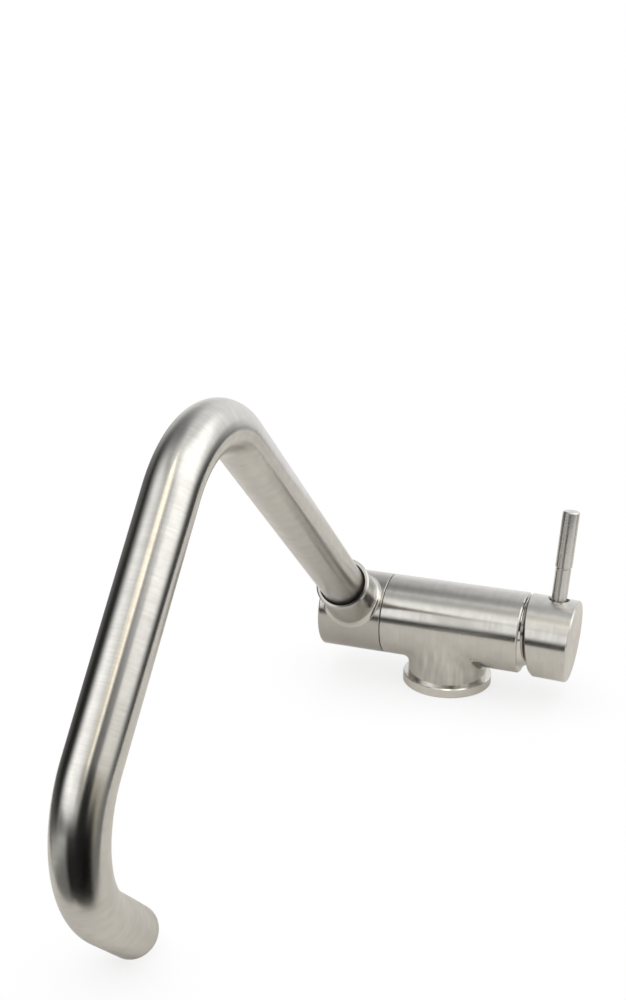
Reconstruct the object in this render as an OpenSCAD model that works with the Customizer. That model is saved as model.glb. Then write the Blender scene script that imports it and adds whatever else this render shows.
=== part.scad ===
// Folding kitchen tap in brushed stainless steel.
// A horizontal barrel stands on a short pillar. A single lever works the mixing cartridge at its
// right end. At its left end a head turns about the barrel's axis, so that the spout folds down,
// and the bent spout swivels in the head's socket.
// X runs along the barrel towards the lever, -Y towards the person, Z up from the worktop.

/* [Body] */
// Height of the barrel's axis above the worktop
axis_h = 37.5; // [36:0.5:45]
// Outside diameter of the barrel and the folding head
barrel_d = 47; // [46:0.5:52]
// Outside diameter of the pillar
pillar_d = 46.5; // [46:0.5:47]
// Wall of the outer shell
shell_wall = 3; // [2:0.25:3.25]
// Distance from the pillar's axis to the barrel's left end
barrel_left = 36.1; // [35:0.1:40]
// Distance from the pillar's axis to the barrel's right end
barrel_right = 45; // [45:0.5:50]
// Chamfer on the barrel's right end
barrel_chamfer = 0.8; // [0.4:0.1:1.2]

/* [Base] */
// Width of the base ring around the pillar
base_ring_w = 3; // [2.25:0.25:6]
// Height of the base ring
base_ring_h = 5.75; // [4:0.25:8]
// Width of the rubber seal under the base ring
gasket_w = 2.6; // [1.6:0.2:2.8]
// Thickness of the rubber seal
gasket_t = 1.2; // [0.8:0.1:1.4]
// Distance between the hot and cold hose inlets
inlet_spacing = 15; // [14:0.5:16]
// Depth of each hose thread
inlet_depth = 13; // [10:0.5:14]
// Distance from the pillar's axis to the fixing stud's hole
stud_x = 13; // [12:0.5:13.5]
// Depth of the fixing stud's thread
stud_depth = 14; // [10:0.5:15]

/* [Folding head] */
// Length of the head along the barrel's axis
head_len = 38; // [37:0.5:44]
// Open seam between the head and the barrel
seam_gap = 0.4; // [0.35:0.05:0.8]
// Rounding of the head's left edge
head_round = 1.2; // [0.5:0.1:2]
// Outside diameter of the socket for the spout
socket_d = 31; // [30:0.5:34]
// Distance from the barrel's axis to the socket's rim
socket_len = 45; // [43:0.5:50]
// Diameter of the journal that the head turns on
journal_d = 24; // [23:0.5:24.5]
// Bore of the journal
journal_bore_d = 14; // [12:0.5:15]

/* [Spout] */
// Outside diameter of the spout tube
tube_d = 25; // [24:0.5:26]
// Wall of the spout tube
tube_wall = 1.5; // [1:0.1:1.8]
// Open ring between the tube and the socket
socket_gap = 1; // [0.9:0.05:1.2]
// Distance from the barrel's axis to the spout's upper corner
riser_len = 288; // [200:1:320]
// Distance between the spout's two corners
reach_len = 217; // [150:1:260]
// Distance from the lower corner to the outlet
drop_len = 82.5; // [70:0.5:120]
// Centre-line radius of both bends
bend_r = 51; // [40:1:55]
// Turn of the upper bend in degrees
bend_1 = 87.5; // [80:0.5:95]
// Turn of the lower bend in degrees
bend_2 = 88.5; // [80:0.5:95]

/* [Cartridge] */
// Outside diameter of the mixing cartridge
cartridge_d = 35; // [34:0.5:35.5]
// Length of the cartridge's housing
cartridge_len = 26.5; // [26:0.5:27]
// Width of the square stem that the lever turns
stem_w = 8; // [7:0.5:8]
// Diameter of the pin that the stem tips on
pin_d = 3; // [2.5:0.25:3.5]

/* [Lever] */
// Outside diameter of the knob
knob_d = 47.5; // [47:0.5:49]
// Distance from the barrel's end to the knob's face
knob_len = 28.5; // [28:0.5:34]
// Gap between barrel and knob at the lever's side
knob_gap_top = 0.35; // [0.35:0.05:1]
// Gap between barrel and knob on the far side
knob_gap_bottom = 8.5; // [8.5:0.25:10]
// Wall of the hollow part of the knob
knob_wall = 3.25; // [2:0.25:3.5]
// Diameter of the hole that the rod stands in
rod_hole_d = 11.5; // [10.5:0.25:12.5]
// Distance from the barrel's end to the rod's axis
rod_offset = 16.85; // [16:0.05:18]
// Distance from the barrel's axis to the rod's tip
rod_len = 74.6; // [60:0.1:90]
// Diameter of the rod's upper part
rod_d = 9.6; // [9:0.1:11]
// Diameter of the rod's lower part
rod_neck_d = 8.8; // [8:0.1:8.9]
// Distance from the barrel's axis to the step in the rod
rod_step = 42.5; // [36:0.5:50]

/* [Pose] */
// Forward fold of the spout from upright
fold = 49.3; // [0:0.1:90]
// Turn of the lever towards the back, from the middle
lever_back = 7.4; // [-45:0.1:45]
// Tip of the lever away from the closed position
lever_tip = 1.8; // [0:0.1:17]

/* [Hidden] */
$fn = 96;

// Clearances
running_gap = 0.05; // round fits that turn
face_gap = 0.1; // flat faces that slide past each other
open_gap = 0.3; // pieces that never touch
over = 1; // how far a cut runs past a face

// Barrel and its core
barrel_r = barrel_d / 2;
core_r = barrel_r - shell_wall;
pillar_core_r = pillar_d / 2 - shell_wall;
pillar_foot_z = 1.8;
edge = 0.3;
block_recess = 2;
seat_depth = 37;
pivot_depth = 9;
block_right = barrel_right - block_recess;
seat_x = barrel_right - seat_depth;
lever_pivot_x = barrel_right - pivot_depth;

// Waterways in the core, as positions on the cartridge's seat
inlet_port_y = 6.4;
inlet_port_z = 4;
inlet_port_r = 2.6;
outlet_port_z = -4.6;
outlet_port_r = 2.6;
outlet_seal_gap = 0.4;
riser_x = -2;
chamber_x = -7;
chamber_r = 11;

// Joint between the core and the inlet block
pocket_x = -5.5;
pocket_r = 12.5;
pocket_drop = 16.5;
pocket_z = axis_h - pocket_drop;
block_foot_z = 0;
inlet_x = -1;
inlet_thread_r = 4.5;
stud_thread_r = 3.4;
screw_points = [[-10, -7], [-10, 7], [5, 0]];
screw_r = 2;
screw_bite = 5;
screw_head_r = 3.5;
screw_head_h = 4;
screw_head_z = 3.5;
key_share = 0.6; // a screw's hexagon recess, as a share of its shank or thread
face_ring_R = 4.1;
face_ring_r = 0.8;

// Journal and head
head_right_x = -barrel_left - seam_gap;
head_left_x = head_right_x - head_len;
socket_x = head_right_x - head_len / 2;
journal_r = journal_d / 2;
head_bore_r = journal_r + running_gap;
flange_r = 17;
flange_t = 9;
journal_root_r = 13;
journal_grip = 21.1;
journal_root_x = -barrel_left + journal_grip;
cavity_len = 7.9;
shoulder_x = head_left_x + cavity_len;
cap_t = 1.7;
cavity_r = 18;
nut_stub_r = 8;
nut_stub_x = head_left_x + cap_t + open_gap;
washer_r = 15.5;
washer_t = 1.2;
washer_step = 1;
journal_nut_t = 2.8;
port_groove_w = 9;
port_groove_d = 1.5;
port_r = 2.5;
journal_ring_r = 0.9;
right_ring_in = 11;
left_ring_in = 3.1;
journal_ring_x = [head_right_x - right_ring_in, shoulder_x + left_ring_in];
stop_in = 6;
stop_x = head_right_x - stop_in;
slide_ring_in = 1.2;
stop_tip_r = 1.5;
stop_groove_d = 1.6;
stop_tip_gap = 0.5;
grub_recess = 1;
fold_travel = 90;
swivel_travel = 90;
tip_travel = 17;
stop_slack = 2;

// Socket and spout root, measured from the barrel's axis along the riser
socket_r = socket_d / 2;
rim_edge = 0.8;
tube_r = tube_d / 2;
tube_in_r = tube_r - tube_wall;
socket_bore_r = tube_r + socket_gap;
socket_floor = 22;
passage_r = 8;
spigot_start = socket_floor + 2 * open_gap;
tube_start = 36;
spigot_end = 50;
spigot_bore_r = 8;
spigot_ring_s = [24.8, 28];
ring_cord_r = 1;
spigot_ring_R = socket_bore_r - running_gap - ring_cord_r;
ring_groove_w = 2.2;
stop_s = 32.5;
dog_r = 1.25;
dog_seat = 0.4;
bush_gap = 0.8;
bush_recess = 3.5;
bush_start = tube_start + bush_gap;
bush_end = socket_len - bush_recess;
bend_run_1 = bend_r * tan(bend_1 / 2);
bend_run_2 = bend_r * tan(bend_2 / 2);
bend_thin = 0.1; // the tube draws in by this much on its radius in a bend
bend_lap = 0.3; // how far a bend runs into the straights, in degrees

// Outlet, measured back from the tube's end
sleeve_start = 12;
outlet_recess = 1;
sleeve_wall = 1.6;
aerator_wall = 1.4;
sleeve_in_r = tube_in_r - sleeve_wall;
aerator_in_r = sleeve_in_r - aerator_wall;
aerator_len = 10;
insert_len = 6;
hole_pitch = 2.3;
hole_r = 0.95;
hole_margin = 1.4;

// Cartridge, along the barrel's axis
cartridge_r = cartridge_d / 2;
cartridge_wall = 2.5;
cartridge_in_r = cartridge_r - cartridge_wall;
floor_t = 4;
disc_t = 3.1;
moving_disc_t = 4;
coupler_t = 6.55;
coupler_x = seat_x + floor_t + disc_t + moving_disc_t + running_gap;
coupler_top_x = coupler_x + coupler_t;
carrier_start_x = coupler_top_x + open_gap;
lip_t = 2;
lip_in = 1.5;
carrier_gap = 0.08;
lip_x = seat_x + cartridge_len - lip_t;
neck_r = cartridge_in_r - lip_in - carrier_gap;
neck_past_pivot = 5;
neck_end_x = lever_pivot_x + neck_past_pivot;
nut_lip = 1.5;
nut_recess = 2.5;
nut_r = cartridge_r + nut_lip;
nut_end_x = block_right - nut_recess;
nut_slot_w = 4;
nut_slot_d = 1.5;
ball_arm = 12;
pin_recess = 1;
ball_r = 3;
ball_neck_r = 2.5;
stem_start = -7;
stem_end = 28;
slot_half = 8;
stem_side_gap = 0.4;
disc_room = 3.7;
moving_disc_r = cartridge_in_r - disc_room;
disc_shift = ball_arm * lever_tip * PI / 180;
ball_side_gap = 0.35;
ball_end_gap = 0.5;
// the mixing chamber in the moving disc: [y, z, radius] of its lobes, and its depth
chamber_lobes = [[0, -6, 4.6], [0, -2.5, 4], [-4.5, -1.5, 3.2], [4.5, -1.5, 3.2]];
chamber_d = 2.2;

// Knob, measured from the pivot along the barrel's axis
knob_r = knob_d / 2;
barrel_end = barrel_right - lever_pivot_x;
knob_face = barrel_end + knob_len;
knob_slant = atan((knob_gap_bottom - knob_gap_top) / knob_d);
knob_floor = 19.5;
knob_chamfer = 0.8;
insert_r = 9;
insert_start = 18;
insert_end = 34;
rod_x = barrel_end + rod_offset;
rod_seat = 8;
rod_thread_r = 3;
rod_chamfer = 0.6;
rod_groove_r = 3.9;
rod_groove_w = 0.8;
rod_sink = 0.9;
rod_sink_d = 1.2;
knob_rim = 1.2;
knob_back_r = knob_r / cos(knob_slant);

// Dome over the cartridge, a zone of a ball about the pivot with a dished front. The knob's rim
// slides over it, and its front stays clear of the knob's floor when the lever is tipped.
dome_gap = 0.5;
dome_wall = 1.5;
dome_hole_r = 10;
dome_dish = 4;
dome_R = norm([barrel_end + knob_gap_top + knob_wall * tan(knob_slant), knob_r - knob_wall]) - dome_gap;
dome_end_turn = acos((knob_floor - dome_gap) / dome_R) + tip_travel;
dome_end_x = dome_R * cos(dome_end_turn);
dome_end_r = dome_R * sin(dome_end_turn);
dome_dish_x = dome_end_x - dome_dish;

steel = "#b9b5ad";
bright_steel = "#c9c8c5";
brass = "#b8975a";
plastic = "#e6e4dc";
dark_plastic = "#3a3a3c";
rubber = "#1f1f20";
alumina = "#f1eee6";

// Frames
module along_x(x) translate([x, 0, axis_h]) rotate([0, 90, 0]) children();
module port(y, z) translate([-z, y, 0]) children();
module fold_frame() translate([0, 0, axis_h]) rotate([fold, 0, 0]) children();
module socket_frame() fold_frame() translate([socket_x, 0, 0]) children();
module mixer_frame() translate([0, 0, axis_h]) rotate([-lever_back, 0, 0]) children();
module lever_frame() mixer_frame() translate([lever_pivot_x, 0, 0]) rotate([0, lever_tip, 0])
    children();
module knob_back() translate([barrel_end + knob_gap_top, 0, knob_r]) rotate([0, -knob_slant, 0])
    translate([0, 0, -knob_back_r]) children();
module disc_frame() mixer_frame() translate([0, 0, disc_shift]) children();

// A turned piece about the X axis, from [x, radius] points
module turned(points) rotate([0, 90, 0]) rotate_extrude() polygon([for (p = points) [p[1], p[0]]]);
// A disc or tube about the X axis
module round_x(x0, x1, r, hole = 0) translate([x0, 0, 0]) rotate([0, 90, 0]) difference() {
    cylinder(r = r, h = x1 - x0);
    if (hole > 0) translate([0, 0, -over]) cylinder(r = hole, h = x1 - x0 + 2 * over);
}
// A flat ring from height z0 to z1
module ring(z0, z1, r, hole) translate([0, 0, z0]) difference() {
    cylinder(r = r, h = z1 - z0);
    translate([0, 0, -over]) cylinder(r = hole, h = z1 - z0 + 2 * over);
}
// A rubber ring of round section about the Z axis
module o_ring(R, r) rotate_extrude() translate([R, 0]) circle(r = r, $fn = 32);
// A bend that starts at the origin towards +Z, turns towards -Y and runs on a little at both ends
module bend(angle, r) translate([0, -bend_r, 0]) rotate([90, 0, 90]) rotate([0, 0, -bend_lap])
    rotate_extrude(angle = angle + 2 * bend_lap) translate([bend_r, 0]) circle(r = r);
// The frame at the end of such a bend, with +Z still along the tube
module after_bend(angle) translate([0, -bend_r, 0]) rotate([angle, 0, 0]) translate([0, bend_r, 0])
    children();
module after_first_bend() translate([0, 0, riser_len - bend_run_1]) after_bend(bend_1) children();
module after_second_bend() after_first_bend()
    translate([0, 0, reach_len - bend_run_1 - bend_run_2]) after_bend(bend_2) children();
module outlet_frame() socket_frame() after_second_bend() translate([0, 0, drop_len - bend_run_2])
    children();

// The spout's path as a solid rod of radius r, longer than the tube by extra at each end
module spout_path(r, extra) {
    translate([0, 0, tube_start - extra])
        cylinder(r = r, h = riser_len - bend_run_1 - tube_start + extra);
    translate([0, 0, riser_len - bend_run_1]) bend(bend_1, r - bend_thin);
    after_first_bend() cylinder(r = r, h = reach_len - bend_run_1 - bend_run_2);
    after_first_bend() translate([0, 0, reach_len - bend_run_1 - bend_run_2])
        bend(bend_2, r - bend_thin);
    after_second_bend() cylinder(r = r, h = drop_len - bend_run_2 + extra);
}

// Fixed pieces
module body_shell() color(steel) difference() {
    union() {
        translate([0, 0, axis_h]) turned([[-barrel_left, 0], [-barrel_left, barrel_r - edge],
            [-barrel_left + edge, barrel_r], [barrel_right - barrel_chamfer, barrel_r],
            [barrel_right, barrel_r - barrel_chamfer], [barrel_right, 0]]);
        translate([0, 0, pillar_foot_z]) cylinder(d = pillar_d, h = axis_h - pillar_foot_z);
    }
    translate([0, 0, axis_h]) round_x(-barrel_left - over, barrel_right + over, core_r);
    cylinder(r = pillar_core_r, h = axis_h);
}

module valve_block() color(brass) difference() {
    translate([0, 0, axis_h]) round_x(-barrel_left, block_right, core_r);
    translate([0, 0, axis_h]) {
        round_x(seat_x, block_right + over, cartridge_r);
        round_x(seat_x + cartridge_len + face_gap, block_right + over, nut_r);
        round_x(-barrel_left - over, -barrel_left + flange_t, flange_r);
        round_x(-barrel_left, journal_root_x, journal_root_r);
        round_x(journal_root_x - over, chamber_x, chamber_r);
    }
    along_x(chamber_x - over) port(0, outlet_port_z)
        cylinder(r = outlet_port_r, h = seat_x - chamber_x + 2 * over);
    for (side = [-1, 1]) {
        along_x(riser_x) port(side * inlet_port_y, inlet_port_z)
            cylinder(r = inlet_port_r, h = seat_x - riser_x + over);
        translate([riser_x, side * inlet_port_y, pocket_z - over])
            cylinder(r = inlet_port_r, h = axis_h + inlet_port_z - pocket_z + over);
    }
    translate([pocket_x, 0, 0]) cylinder(r = pocket_r, h = pocket_z);
    for (p = screw_points) translate([p[0], p[1], pocket_z - over])
        cylinder(r = screw_r, h = screw_bite + over);
}

module inlet_block() color(brass) difference() {
    union() {
        translate([0, 0, block_foot_z]) cylinder(r = pillar_core_r, h = axis_h - core_r - block_foot_z);
        translate([pocket_x, 0, block_foot_z]) cylinder(r = pocket_r, h = pocket_z - block_foot_z);
    }
    for (side = [-1, 1]) {
        translate([inlet_x, side * inlet_spacing / 2, block_foot_z - over])
            cylinder(r = inlet_thread_r, h = inlet_depth + over);
        translate([riser_x, side * inlet_port_y, block_foot_z + inlet_depth - over])
            cylinder(r = inlet_port_r, h = pocket_z);
        translate([riser_x, side * inlet_port_y, pocket_z - 2 * face_ring_r])
            cylinder(r = face_ring_R + face_ring_r, h = 2 * face_ring_r + over);
    }
    translate([stud_x, 0, block_foot_z - over]) cylinder(r = stud_thread_r, h = stud_depth + over);
    for (p = screw_points) translate([p[0], p[1], block_foot_z - over]) {
        cylinder(r = screw_r + face_gap, h = pocket_z - block_foot_z + 2 * over);
        cylinder(r = screw_head_r + face_gap, h = screw_head_z + screw_head_h - block_foot_z + over);
    }
}

module inlet_o_rings() color(rubber) for (side = [-1, 1])
    translate([riser_x, side * inlet_port_y, pocket_z - face_ring_r]) o_ring(face_ring_R, face_ring_r);

module block_screws() color(bright_steel) for (p = screw_points)
    translate([p[0], p[1], screw_head_z]) difference() {
    union() {
        cylinder(r = screw_head_r, h = screw_head_h);
        cylinder(r = screw_r, h = pocket_z + screw_bite - screw_head_z);
    }
    translate([0, 0, -over]) cylinder(r = 2 * screw_r * key_share, h = screw_head_h / 2 + over, $fn = 6);
}

module base_ring() color(bright_steel) {
    ring_r = pillar_d / 2 + base_ring_w;
    foot_edge = 0.4;
    top_edge = 0.6;
    difference() {
        rotate_extrude() polygon([[pillar_core_r + open_gap, 0], [ring_r - foot_edge, 0],
            [ring_r, foot_edge], [ring_r, base_ring_h - top_edge], [ring_r - top_edge, base_ring_h],
            [pillar_d / 2, base_ring_h], [pillar_d / 2, pillar_foot_z],
            [pillar_core_r + open_gap, pillar_foot_z]]);
        translate([0, 0, -over]) ring(0, gasket_t + over, pillar_d / 2 - face_gap + gasket_w / 2,
            pillar_d / 2 - face_gap - gasket_w / 2);
    }
}

module base_gasket() color(rubber)
    ring(0, gasket_t, pillar_d / 2 - face_gap + gasket_w / 2, pillar_d / 2 - face_gap - gasket_w / 2);

module swivel_journal() color(brass) translate([0, 0, axis_h]) difference() {
    union() {
        round_x(-barrel_left + flange_t, journal_root_x, journal_root_r);
        round_x(-barrel_left, -barrel_left + flange_t, flange_r);
        round_x(shoulder_x + face_gap, -barrel_left, journal_r);
        round_x(nut_stub_x, shoulder_x + face_gap, nut_stub_r);
    }
    round_x(socket_x - port_groove_w / 2, journal_root_x + over, journal_bore_d / 2);
    round_x(socket_x - port_groove_w / 2, socket_x + port_groove_w / 2, journal_r + over,
        journal_r - port_groove_d);
    for (a = [0:90:270]) rotate([a, 0, 0]) translate([socket_x, 0, 0])
        cylinder(r = port_r, h = journal_r + over);
    for (x = journal_ring_x) round_x(x - ring_groove_w / 2, x + ring_groove_w / 2, journal_r + over,
        journal_r - 2 * journal_ring_r);
    stop_margin = asin(stop_tip_r / (journal_r - stop_groove_d)) + stop_slack;
    translate([stop_x, 0, 0]) rotate([0, 90, 0]) rotate([0, 0, -stop_margin])
        rotate_extrude(angle = fold_travel + 2 * stop_margin)
            translate([journal_r - stop_groove_d, -stop_tip_r - open_gap])
                square([stop_groove_d + over, 2 * (stop_tip_r + open_gap)]);
}

module journal_o_rings() color(rubber) for (x = journal_ring_x)
    along_x(x) o_ring(journal_r - journal_ring_r, journal_ring_r);

module slide_ring() color(dark_plastic) translate([0, 0, axis_h])
    round_x(-barrel_left - seam_gap + face_gap, -barrel_left, barrel_r - slide_ring_in, journal_r);

module friction_washers() color(bright_steel) translate([0, 0, axis_h]) for (i = [0, 1])
    translate([shoulder_x - face_gap - (i + 1) * washer_t, 0, 0])
        round_x(0, washer_t, washer_r - i * washer_step, nut_stub_r);

module journal_nut() color(brass) translate([shoulder_x - face_gap - 2 * washer_t, 0, axis_h])
    rotate([0, -90, 0]) difference() {
        cylinder(r = washer_r - washer_step, h = journal_nut_t, $fn = 6);
        translate([0, 0, -over]) cylinder(r = nut_stub_r, h = journal_nut_t + 2 * over);
    }

// Ports in the cartridge's floor and the fixed disc, from x0 to x1
module seat_ports(x0, x1) {
    for (side = [-1, 1]) along_x(x0) port(side * inlet_port_y, inlet_port_z)
        cylinder(r = inlet_port_r, h = x1 - x0);
    along_x(x0) port(0, outlet_port_z) cylinder(r = outlet_port_r, h = x1 - x0);
}

module seal_places() {
    for (side = [-1, 1]) along_x(seat_x + face_ring_r) port(side * inlet_port_y, inlet_port_z) children(0);
    along_x(seat_x + face_ring_r) port(0, outlet_port_z) children(1);
}

module cartridge_housing() color(plastic) difference() {
    translate([0, 0, axis_h]) round_x(seat_x, seat_x + cartridge_len, cartridge_r);
    translate([0, 0, axis_h]) round_x(seat_x + floor_t, lip_x, cartridge_in_r);
    translate([0, 0, axis_h]) round_x(lip_x - over, seat_x + cartridge_len + over, cartridge_in_r - lip_in);
    seat_ports(seat_x - over, seat_x + floor_t + over);
    seal_places() {
        translate([0, 0, -face_ring_r - over])
            cylinder(r = face_ring_R + face_ring_r, h = 2 * face_ring_r + over);
        translate([0, 0, -face_ring_r - over])
            cylinder(r = outlet_port_r + outlet_seal_gap + 2 * face_ring_r, h = 2 * face_ring_r + over);
    }
}

module cartridge_seals() color(rubber) seal_places() {
    o_ring(face_ring_R, face_ring_r);
    o_ring(outlet_port_r + outlet_seal_gap + face_ring_r, face_ring_r);
}

module ceramic_disc_fixed() color(alumina) difference() {
    translate([0, 0, axis_h]) round_x(seat_x + floor_t, seat_x + floor_t + disc_t, cartridge_in_r);
    seat_ports(seat_x + floor_t - over, seat_x + floor_t + disc_t + over);
}

module cartridge_nut() color(brass) difference() {
    translate([0, 0, axis_h])
        round_x(seat_x + cartridge_len + face_gap, nut_end_x, nut_r, neck_r + 2 * open_gap);
    for (a = [0, 90]) translate([nut_end_x, 0, axis_h]) rotate([a, 0, 0])
        cube([2 * nut_slot_d, 2 * nut_r + over, nut_slot_w], center = true);
}

module bonnet_dome() color(bright_steel) translate([0, 0, axis_h]) {
    round_x(block_right, barrel_right, core_r, nut_r - dome_wall);
    round_x(nut_end_x, block_right, nut_r, nut_r - dome_wall);
    translate([lever_pivot_x, 0, 0]) {
        intersection() {
            difference() {
                rotate([0, 90, 0]) sphere(r = dome_R);
                rotate([0, 90, 0]) sphere(r = dome_R - dome_wall);
            }
            round_x(barrel_end - 0.01, dome_end_x, dome_R, dome_hole_r);
        }
        turned([[dome_end_x - open_gap, dome_end_r - dome_wall / 2], [dome_dish_x, dome_hole_r],
            [dome_dish_x - dome_wall, dome_hole_r],
            [dome_end_x - open_gap - dome_wall, dome_end_r - dome_wall / 2]]);
    }
}

// Pieces that fold with the head
module swivel_head() color(steel) fold_frame() difference() {
    union() {
        round_x(head_left_x + head_round, head_right_x - edge, barrel_r);
        turned([[head_right_x - edge, 0], [head_right_x - edge, barrel_r], [head_right_x, barrel_r - edge],
            [head_right_x, 0]]);
        round_x(head_left_x, head_left_x + head_round, barrel_r - head_round);
        translate([head_left_x + head_round, 0, 0]) rotate([0, 90, 0]) rotate_extrude()
            intersection() {
                translate([barrel_r - head_round, 0]) circle(r = head_round);
                translate([barrel_r - head_round, -head_round]) square(head_round);
            }
        translate([socket_x, 0, 0]) cylinder(r = socket_r, h = socket_len - rim_edge);
        translate([socket_x, 0, socket_len - rim_edge])
            cylinder(r1 = socket_r, r2 = socket_r - rim_edge, h = rim_edge);
    }
    round_x(shoulder_x - over, head_right_x + over, head_bore_r);
    round_x(head_left_x - over, shoulder_x, cavity_r);
    translate([socket_x, 0, 0]) {
        cylinder(r = passage_r, h = socket_floor + over);
        translate([0, 0, socket_floor]) cylinder(r = socket_bore_r, h = socket_len - socket_floor + over);
        translate([0, 0, stop_s]) rotate([-90, 0, 0]) cylinder(r = screw_r, h = socket_r + over);
    }
    translate([stop_x, 0, 0]) rotate([180, 0, 0]) cylinder(r = screw_r, h = barrel_r + over);
}

module head_cap() color(steel) fold_frame() round_x(head_left_x, head_left_x + cap_t, cavity_r);

// A grub screw with a thinner tip, from radius r0 to r1, with the tip ending at tip_end
module grub(r, r0, r1, tip_r, tip_end) difference() {
    union() {
        translate([0, 0, r0]) cylinder(r = r, h = r1 - r0);
        translate([0, 0, tip_end]) cylinder(r = tip_r, h = r0 - tip_end);
    }
    translate([0, 0, (r0 + r1) / 2]) cylinder(r = r * key_share, h = r1, $fn = 6);
}

module fold_stop_screw() color(bright_steel) fold_frame() translate([stop_x, 0, 0]) rotate([180, 0, 0])
    grub(screw_r, head_bore_r + 2 * open_gap, barrel_r - grub_recess, stop_tip_r,
        journal_r - stop_groove_d + stop_tip_gap);

module socket_bush() color(dark_plastic) socket_frame()
    ring(bush_start, bush_end, socket_bore_r, tube_r + running_gap);

module spout_stop_screw() color(bright_steel) socket_frame() translate([0, 0, stop_s]) rotate([-90, 0, 0])
    grub(screw_r, socket_bore_r - dog_seat, socket_r - open_gap, dog_r,
        tube_r - stop_groove_d + stop_tip_gap);

// Pieces that swivel with the spout
module spout_tube() color(steel) socket_frame() difference() {
    spout_path(tube_r, 0);
    spout_path(tube_in_r, over);
}

module spout_spigot() color(brass) socket_frame() difference() {
    union() {
        translate([0, 0, spigot_start]) cylinder(r = tube_r, h = tube_start - spigot_start);
        translate([0, 0, tube_start]) cylinder(r = tube_in_r, h = spigot_end - tube_start);
    }
    translate([0, 0, spigot_start - over]) cylinder(r = spigot_bore_r, h = spigot_end);
    for (s = spigot_ring_s)
        ring(s - ring_groove_w / 2, s + ring_groove_w / 2, tube_r + over, spigot_ring_R - ring_cord_r);
    margin = asin(dog_r / (tube_r - stop_groove_d)) + stop_slack;
    rotate([0, 0, 90 - swivel_travel - margin]) rotate_extrude(angle = 2 * (swivel_travel + margin))
        translate([tube_r - stop_groove_d, stop_s - dog_r - open_gap])
            square([stop_groove_d + over, 2 * (dog_r + open_gap)]);
}

module spout_o_rings() color(rubber) socket_frame() for (s = spigot_ring_s)
    translate([0, 0, s]) o_ring(spigot_ring_R, ring_cord_r);

module outlet_sleeve() color(brass) outlet_frame()
    ring(-sleeve_start, -outlet_recess, tube_in_r, sleeve_in_r);

module aerator_housing() color(plastic) outlet_frame()
    ring(-outlet_recess - aerator_len, -outlet_recess, sleeve_in_r, aerator_in_r);

module aerator_insert() color(dark_plastic) outlet_frame()
    translate([0, 0, -outlet_recess - insert_len]) difference() {
    cylinder(r = aerator_in_r, h = insert_len);
    rows = ceil(aerator_in_r / hole_pitch);
    for (i = [-rows:rows], j = [-rows:rows]) {
        x = (i + j / 2) * hole_pitch;
        y = j * hole_pitch * sqrt(3) / 2;
        if (norm([x, y]) < aerator_in_r - hole_margin)
            translate([x, y, -over]) cylinder(r = hole_r, h = insert_len + 2 * over, $fn = 6);
    }
}

module aerator_gasket() color(rubber) outlet_frame()
    ring(-sleeve_start, -outlet_recess - aerator_len, sleeve_in_r, aerator_in_r);

// Pieces that turn with the mixing angle
module cartridge_carrier() color(dark_plastic) mixer_frame() difference() {
    union() {
        round_x(carrier_start_x, lip_x - open_gap, cartridge_in_r - carrier_gap);
        round_x(lip_x - open_gap, neck_end_x, neck_r);
    }
    slot_w = stem_w + 2 * stem_side_gap;
    translate([carrier_start_x - over, -slot_w / 2, -slot_half])
        cube([neck_end_x - carrier_start_x + 2 * over, slot_w, 2 * slot_half]);
    translate([lever_pivot_x, 0, 0]) rotate([90, 0, 0])
        cylinder(d = pin_d, h = 2 * neck_r + over, center = true);
}

module lever_pivot_pin() color(bright_steel) mixer_frame() translate([lever_pivot_x, 0, 0])
    rotate([90, 0, 0]) cylinder(d = pin_d, h = 2 * (neck_r - pin_recess), center = true);

// Pieces that slide across the fixed disc
module disc_coupler() color(plastic) disc_frame() difference() {
    round_x(coupler_x, coupler_top_x, moving_disc_r);
    pocket_w = 2 * (ball_r + ball_side_gap);
    translate([lever_pivot_x - ball_arm - ball_r - ball_end_gap, -pocket_w / 2, -pocket_w / 2])
        cube([3 * ball_r, pocket_w, pocket_w]);
}

module ceramic_disc_moving() color(alumina) disc_frame() difference() {
    base_x = seat_x + floor_t + disc_t + running_gap;
    round_x(base_x, base_x + moving_disc_t, moving_disc_r);
    // the mixing chamber, open towards the fixed disc
    for (p = chamber_lobes) translate([0, p[0], p[1]]) round_x(base_x - over, base_x + chamber_d, p[2]);
}

// Pieces that tip with the lever
module cartridge_stem() color(bright_steel) lever_frame() difference() {
    union() {
        translate([-ball_arm, 0, 0]) sphere(r = ball_r);
        round_x(-ball_arm, stem_start, ball_neck_r);
        translate([stem_start, -stem_w / 2, -stem_w / 2]) cube([stem_end - stem_start, stem_w, stem_w]);
    }
    rotate([90, 0, 0]) cylinder(r = pin_d / 2 + running_gap, h = stem_w + 2 * over, center = true);
}

module knob_insert() color(brass) lever_frame() difference() {
    round_x(insert_start, insert_end, insert_r);
    translate([insert_start - over, -stem_w / 2, -stem_w / 2])
        cube([stem_end - insert_start + over, stem_w, stem_w]);
    translate([rod_x, 0, 0]) cylinder(r = rod_thread_r, h = insert_r + over);
    translate([rod_x, 0, rod_seat]) cylinder(r = rod_hole_d / 2, h = insert_r);
}

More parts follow.
